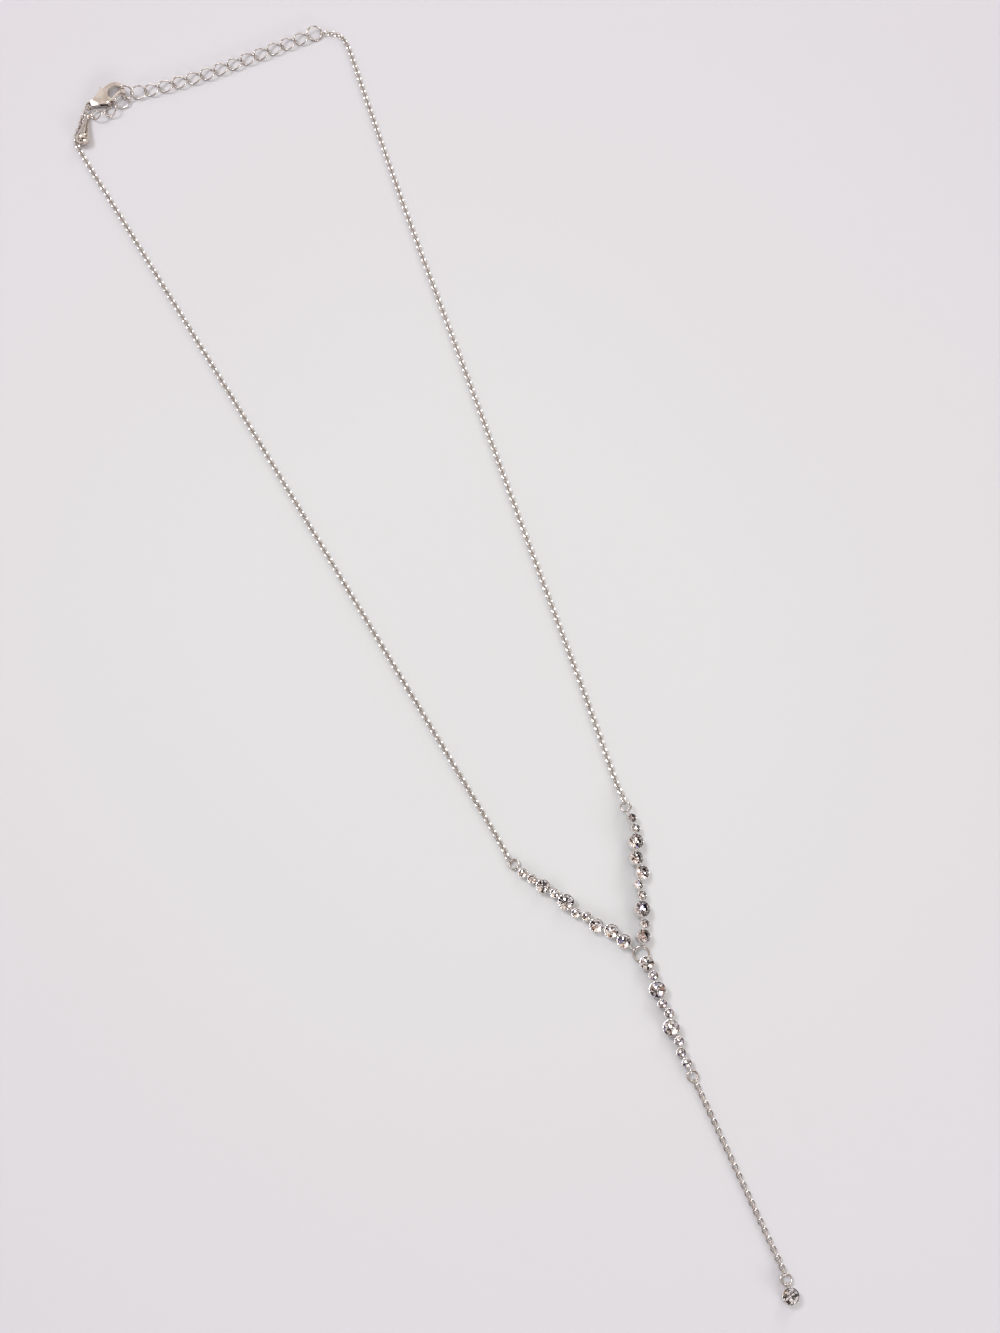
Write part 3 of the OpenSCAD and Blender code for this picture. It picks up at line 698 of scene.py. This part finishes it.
DROP_ROUTE = [
    (-1.69153, -27.5727, 0.671), (-1.9, -38, 0.61), (-2.3, -54, 0.61),
    (-2.62827, -67.8404, 0.738)]
FINE_LINK = fine_link()
LINK_NODES = links_along()
LINK_REACH = 0.29  # mm from a route's end to the middle of the link there
for name, line, spacing, first_roll in (
        ("chain_left", smooth_route(LEFT_ROUTE), 0.94, 45),
        ("chain_right", smooth_route(RIGHT_ROUTE), 0.94, 45),
        ("chain_drop", [Vector(p) for p in DROP_ROUTE], 0.945, 90)):
    room = length_of(line) - 2 * LINK_REACH
    links = round(room / spacing) + 1
    mesh = run_nodes(name + "_route", line_mesh(line), LINK_NODES, {
        "Link": FINE_LINK, "Links": links, "First link at": LINK_REACH,
        "Spacing": room / (links - 1), "First roll": math.radians(first_roll),
        "Roll to the next": math.radians(-90), "Sway": math.radians(3), "Finish": chain_plate})
    chain = finish_piece(name + "_links", mesh, [chain_plate], "necklace", [name])

# The extender: a chain of larger oval links whose ends are twisted against each other, so that
# they lie flat. Twelve lie in a row from the ring, and the last five hang at the clasp, which
# hooks through one of them.
extender_plate = rhodium("extender_plate", "#DBD5D0", "#BDB2AA", (0.07, 0.2), 1.2, 0.18, 0.01)
EXTENDER_LONG, EXTENDER_WIDE, EXTENDER_WIRE = 4.35, 3.4, 0.38
ROW_LINKS, ROW_SPACING, ROW_REACH = 12, 3.48, 1.495  # mm, the last from the row's end to a link
EXTENDER_ROUTE = [
    (-14.8, 237.55, 0.78), (-8, 236.65, 0.78), (1.3, 235.9, 0.78), (26.75, 235.8, 0.8)]
CLASP_LINKS = [  # middle in mm, then heading, rise and roll in degrees
    (-16.31, 237.74, 1.11, 170.2, 10.9, -30.2), (-19.35, 238.88, 1.44, 126.9, 5, 135.2),
    (-21.04, 237.01, 1.16, 180.3, 16.7, 143), (-24.01, 235.99, 1.06, 213.1, -6.1, 205.3),
    (-27.02, 236.08, 1.07, 171.7, -11.4, 30.6)]


def twisted_link():
    """Oval link of the extender, its ends twisted by a quarter turn against each other."""
    half, half_wide = (EXTENDER_LONG - EXTENDER_WIRE) / 2, (EXTENDER_WIDE - EXTENDER_WIRE) / 2
    path = []
    for k in range(28):
        t = 2 * math.pi * k / 28
        twist = math.radians(-45 * math.cos(t))
        path.append(Vector((half * math.cos(t), half_wide * math.sin(t) * math.cos(twist),
                            half_wide * math.sin(t) * math.sin(twist))))
    return wire_link("twisted_link", path, EXTENDER_WIRE, 10)


TWISTED_LINK = twisted_link()
line = [Vector(p) for p in EXTENDER_ROUTE]
row_start = length_of(line) - ROW_REACH - (ROW_LINKS - 1) * ROW_SPACING
extender_mesh = run_nodes("extender_route", line_mesh(line), LINK_NODES, {
    "Link": TWISTED_LINK, "Links": ROW_LINKS, "First link at": row_start, "Spacing": ROW_SPACING,
    "First roll": 0.0, "Roll to the next": 0.0, "Sway": 0.0, "Finish": extender_plate})
bm = bmesh.new()
bm.from_mesh(extender_mesh)
for x, y, z, heading, rise, roll in CLASP_LINKS:
    add_mesh(bm, TWISTED_LINK.data.copy(),
             placed((x, y, z), (0, -rise, heading)) @ placed((0, 0, 0), (roll, 0, 0)))
extender = finish_piece("chain_extender_links", mesh_of(bm, "extender"), [extender_plate],
                        "necklace", ["chain_extender"])

# The clasp: a cast lobster claw with a plump polished body, an eye at one end, and a lever with
# its thumb tab that turns on a riveted pin. All three parts are rhodium plated, and their edges
# are tumbled round.
clasp_plate = rhodium("clasp_plate", "#E2DAD4", "#C6BBB2", (0.06, 0.17), 2.2, 0.3, 0.016)
CLASP = placed(MIDDLE + Vector((-28.27, 239.62, 0.78)), (0, -5, 1.5))  # the eye, the hook along X
SHOULDER_AT, SHOULDER_FALL = Vector((1.35, 1.1, 0)), Vector((0.149, 0.075, 0))
SHOULDER_FROM, SHOULDER_LEAST = 0.3, 0.33  # mm off the middle plane: what thins, and how far


def thin_shoulder(bm):
    """The body thins down to the eye, from the shoulder on."""
    bmesh.ops.transform(bm, matrix=CLASP.inverted() @ Matrix.Scale(1 / MM, 4), verts=bm.verts)
    bmesh.ops.bisect_plane(bm, geom=bm.verts[:] + bm.edges[:] + bm.faces[:], dist=1e-5,
                           plane_co=SHOULDER_AT, plane_no=SHOULDER_FALL)
    for v in bm.verts:
        drop = (SHOULDER_AT - v.co).dot(SHOULDER_FALL)
        if drop > 0 and abs(v.co.z) > SHOULDER_FROM:
            v.co.z = math.copysign(max(abs(v.co.z) - drop, SHOULDER_LEAST), v.co.z)
    bmesh.ops.transform(bm, matrix=Matrix.Scale(MM, 4) @ CLASP, verts=bm.verts)


def rounded_part(node, width, steps, smooth_under=40):
    """A copy of a CAD part with its coplanar triangles merged and its edges rounded."""
    bm = bmesh.new()
    bm.from_mesh(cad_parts[node].data)
    bmesh.ops.remove_doubles(bm, verts=bm.verts, dist=1e-7)
    bmesh.ops.dissolve_limit(bm, angle_limit=math.radians(1.5), verts=bm.verts, edges=bm.edges)
    if node == "clasp_body":
        thin_shoulder(bm)
    sharp = [edge for edge in bm.edges
             if edge.is_manifold and edge.calc_face_angle(0) > math.radians(smooth_under)]
    bmesh.ops.bevel(bm, geom=sharp, offset=width * MM, segments=steps, profile=0.5,
                    affect="EDGES", clamp_overlap=True)
    mesh = mesh_of(bm, node)
    mesh.shade_smooth()
    holder = bpy.data.objects.new(node + "_rounded", mesh)
    SCENE.collection.objects.link(holder)
    weighted = holder.modifiers.new("flat_faces", "WEIGHTED_NORMAL")
    weighted.weight, weighted.keep_sharp = 100, False
    even = evaluated_mesh(holder)
    even.transform(Matrix.Translation(-MIDDLE) @ Matrix.Scale(1 / MM, 4))
    return even


for name, node, width, steps, body in (
        ("clasp_claw", "clasp_body", 0.16, 4, "necklace"),
        ("clasp_thumb_lever", "clasp_lever", 0.1, 3, "lever"),
        ("clasp_rivet", "clasp_pin", 0.04, 2, "necklace")):
    piece = finish_piece(name, rounded_part(node, width, steps), [clasp_plate], body, [node], 180)

# The weight: a cast teardrop with a small ball and a wire eye, at the extender's free end. It is
# smooth and plated like the clasp, and lies on the table beside the chain.
weight_plate = rhodium("weight_plate", "#E4DAD0", "#CDC1B5", (0.04, 0.13), 2.6, 0.35, 0.012)
BALL_AT, BALL_RADIUS = Vector((-29.76, 236.69, 0.68)), 0.5
WEIGHT_RADIUS, NECK_RADIUS = 1.6, 0.3
NECK_AT, BELLY_AT = 0.5, 6.8  # mm along the weight, from the ball's middle
CONE_HOLLOW = 0.05
WEIGHT_HEADING, EYE_HEADING = -120.5, -22
EYE_AT, EYE_RADIUS, EYE_WIRE = 0.9, 0.51, 0.28
slope = math.degrees(math.asin((WEIGHT_RADIUS - BALL_AT.z) / BELLY_AT))
outline = [(BALL_RADIUS * math.sin(t), BALL_RADIUS * -math.cos(t))
           for t in (math.pi * k / 14 for k in range(1, 11))]
edge = math.radians(8)  # where the cone runs into the round belly
cone_start = Vector((NECK_RADIUS, NECK_AT))
cone_end = Vector((WEIGHT_RADIUS * math.cos(edge), BELLY_AT - WEIGHT_RADIUS * math.sin(edge)))
outline += [(cone_start.x + (cone_end.x - cone_start.x) * s - CONE_HOLLOW * math.sin(math.pi * s),
             cone_start.y + (cone_end.y - cone_start.y) * s) for s in (k / 14 for k in range(15))]
outline += [(WEIGHT_RADIUS * math.cos(t), BELLY_AT + WEIGHT_RADIUS * math.sin(t))
            for t in (math.radians(a) for a in range(-4, 90, 6))]
bm = bmesh.new()
along = placed(BALL_AT, (0, 0, WEIGHT_HEADING)) @ placed((0, 0, 0), (0, 90 - slope, 0))
add_sweep(bm, [along @ Vector((0, 0, z)) for r, z in outline], [r for r, z in outline], 40,
          side=along.to_3x3() @ Vector((1, 0, 0)))
eye = placed(BALL_AT, (0, 0, EYE_HEADING)) @ placed((EYE_AT, 0, 0), (90, 0, 0))
add_ring(bm, eye, EYE_RADIUS, EYE_WIRE, 40, 12)
weight = finish_piece("weight_teardrop", mesh_of(bm, "weight"), [weight_plate], "necklace",
                      ["weight"], 180)

# The table: a pale sheet, with no edge in view, under the soft light of a window room, and painted
# light falloff.
TABLE_DROP = 2e-5  # m, so that no underside shares its plane
floor_sheet, tree, shader = new_material("pale_sheet")
at = step(tree, "ShaderNodeTexCoord")["Object"]
tone = reckon(tree, "MULTIPLY", noise(tree, at, 6.0, 1.0), -0.06)
# Painted light falloff: the sheet's colour darkens and turns lilac with distance from the middle,
# broken by random blotches.
painted_falloff = step(tree, "ShaderNodeVectorMath", {0: at}, operation="LENGTH")["Value"]
painted_falloff = reckon(tree, "ADD", painted_falloff, tone)
fill(shader, {
    "Base Color": shades(tree, painted_falloff, [(0.02, linear("#E2E5E7")), (0.17, linear("#DEDDE4"))]),
    "Roughness": 0.9, "Specular IOR Level": 0.1})
bm = bmesh.new()
bmesh.ops.create_grid(bm, x_segments=2, y_segments=2, size=5)
bmesh.ops.translate(bm, verts=bm.verts, vec=(0, 0, -TABLE_DROP))
floor = bpy.data.objects.new("table_sheet", mesh_of(bm, "table_sheet"))
floor.data.materials.append(floor_sheet)
SCENE.collection.objects.link(floor)

# The light: a pale room with darker patches, a broad soft window behind, one to the right, a
# bright wall in front, and a dark warm card round the camera, which polished metal and cut glass
# need for their contrast. Past the table's edge the camera sees the walls plain.
world = bpy.data.worlds.new("pale_room")
SCENE.world = world
world.use_nodes = True
tree = world.node_tree
toward = step(tree, "ShaderNodeTexCoord")["Generated"]
height = step(tree, "ShaderNodeSeparateXYZ", {"Vector": toward})["Z"]
walls = shades(tree, height, [
    (0.0, linear("#F2F0F1")), (0.3, linear("#E2DFDF")), (0.6, linear("#D4CDC9")),
    (0.8, linear("#E6DED8")), (1.0, linear("#F2E9E3"))])
upright = step(tree, "ShaderNodeVectorMath", {0: toward, 1: (1, 1, 0.3)},
               operation="MULTIPLY")["Vector"]
clutter = noise(tree, upright, 5.5, 1.0, Roughness=0.4)
clutter = shades(tree, clutter, [
    (0.43, linear("#2B211C")), (0.47, linear("#9F948D")), (0.51, linear("#FFFFFF"))])
overhead = remap(tree, height, (0.6, 0.76))
clutter = step(tree, "ShaderNodeMix", {0: overhead, 6: clutter, 7: (1, 1, 1, 1)},
               data_type="RGBA")[2]
seen = step(tree, "ShaderNodeMix", {0: 1.0, 6: walls, 7: clutter}, data_type="RGBA",
            blend_type="MULTIPLY")[2]
straight_on = step(tree, "ShaderNodeLightPath")["Is Camera Ray"]
seen = step(tree, "ShaderNodeMix", {0: straight_on, 6: seen, 7: walls}, data_type="RGBA")[2]
fill(tree.nodes["Background"], {"Color": seen, "Strength": 1.125})


def soft_window(name, spot, aim, width, height, watts, colour):
    light = bpy.data.lights.new(name, "AREA")
    light.shape = "RECTANGLE"
    light.size, light.size_y = width, height
    light.energy = watts
    light.color = linear(colour)[:3]
    lamp = bpy.data.objects.new(name, light)
    lamp.location = spot
    lamp.rotation_euler = (Vector(aim) - Vector(spot)).to_track_quat("-Z", "Y").to_euler()
    SCENE.collection.objects.link(lamp)


soft_window("window_back", (-0.66, 0.97, 1.87), (0, 0, 0), 0.5, 0.7, 15.0, "#FBFAFF")
soft_window("window_right", (1.3, 1.05, 0.87), (0, 0, 0), 0.5, 0.6, 4.8, "#FFFCFA")
soft_window("wall_in_front", (0.2, -1.15, 0.42), (0, -0.1, 0), 0.8, 0.25, 5.5, "#FFFDFC")


def dark_card(name, spot, aim, width, height, colour):
    material, _, shader = new_material(name)
    fill(shader, {"Base Color": linear(colour), "Roughness": 0.8})
    bm = bmesh.new()
    bmesh.ops.create_grid(bm, x_segments=1, y_segments=1, size=0.5)
    mesh = mesh_of(bm, name)
    turned = (Vector(aim) - Vector(spot)).to_track_quat("Z", "Y").to_matrix().to_4x4()
    mesh.transform(Matrix.Translation(spot) @ turned @ Matrix.Diagonal((width, height, 1, 1)))
    mesh.materials.append(material)
    card = bpy.data.objects.new(name, mesh)
    SCENE.collection.objects.link(card)


dark_card("card_over_camera", (-0.17, -0.46, 0.9), (0, 0, 0), 0.8, 0.55, "#3A2C25")

# The camera stands over the lower left of the necklace and looks down at 70 degrees.
EYE, AIM = Vector((-0.0615, -0.14903, 0.4041)), Vector((0.0007, -0.01573, 0))
camera = bpy.data.objects.new("camera", bpy.data.cameras.new("camera"))
camera.data.sensor_fit = "VERTICAL"
camera.data.sensor_height = 24
camera.data.lens = 36.0
camera.data.clip_start = 0.01
forward = (AIM - EYE).normalized()
right = Vector((0.9063, -0.4226, 0)).normalized()
up = right.cross(forward)
view = Matrix((right, up, -forward)).transposed().to_4x4()
view.translation = EYE
camera.matrix_world = view
SCENE.collection.objects.link(camera)
SCENE.camera = camera
SCENE.view_settings.view_transform = "Standard"
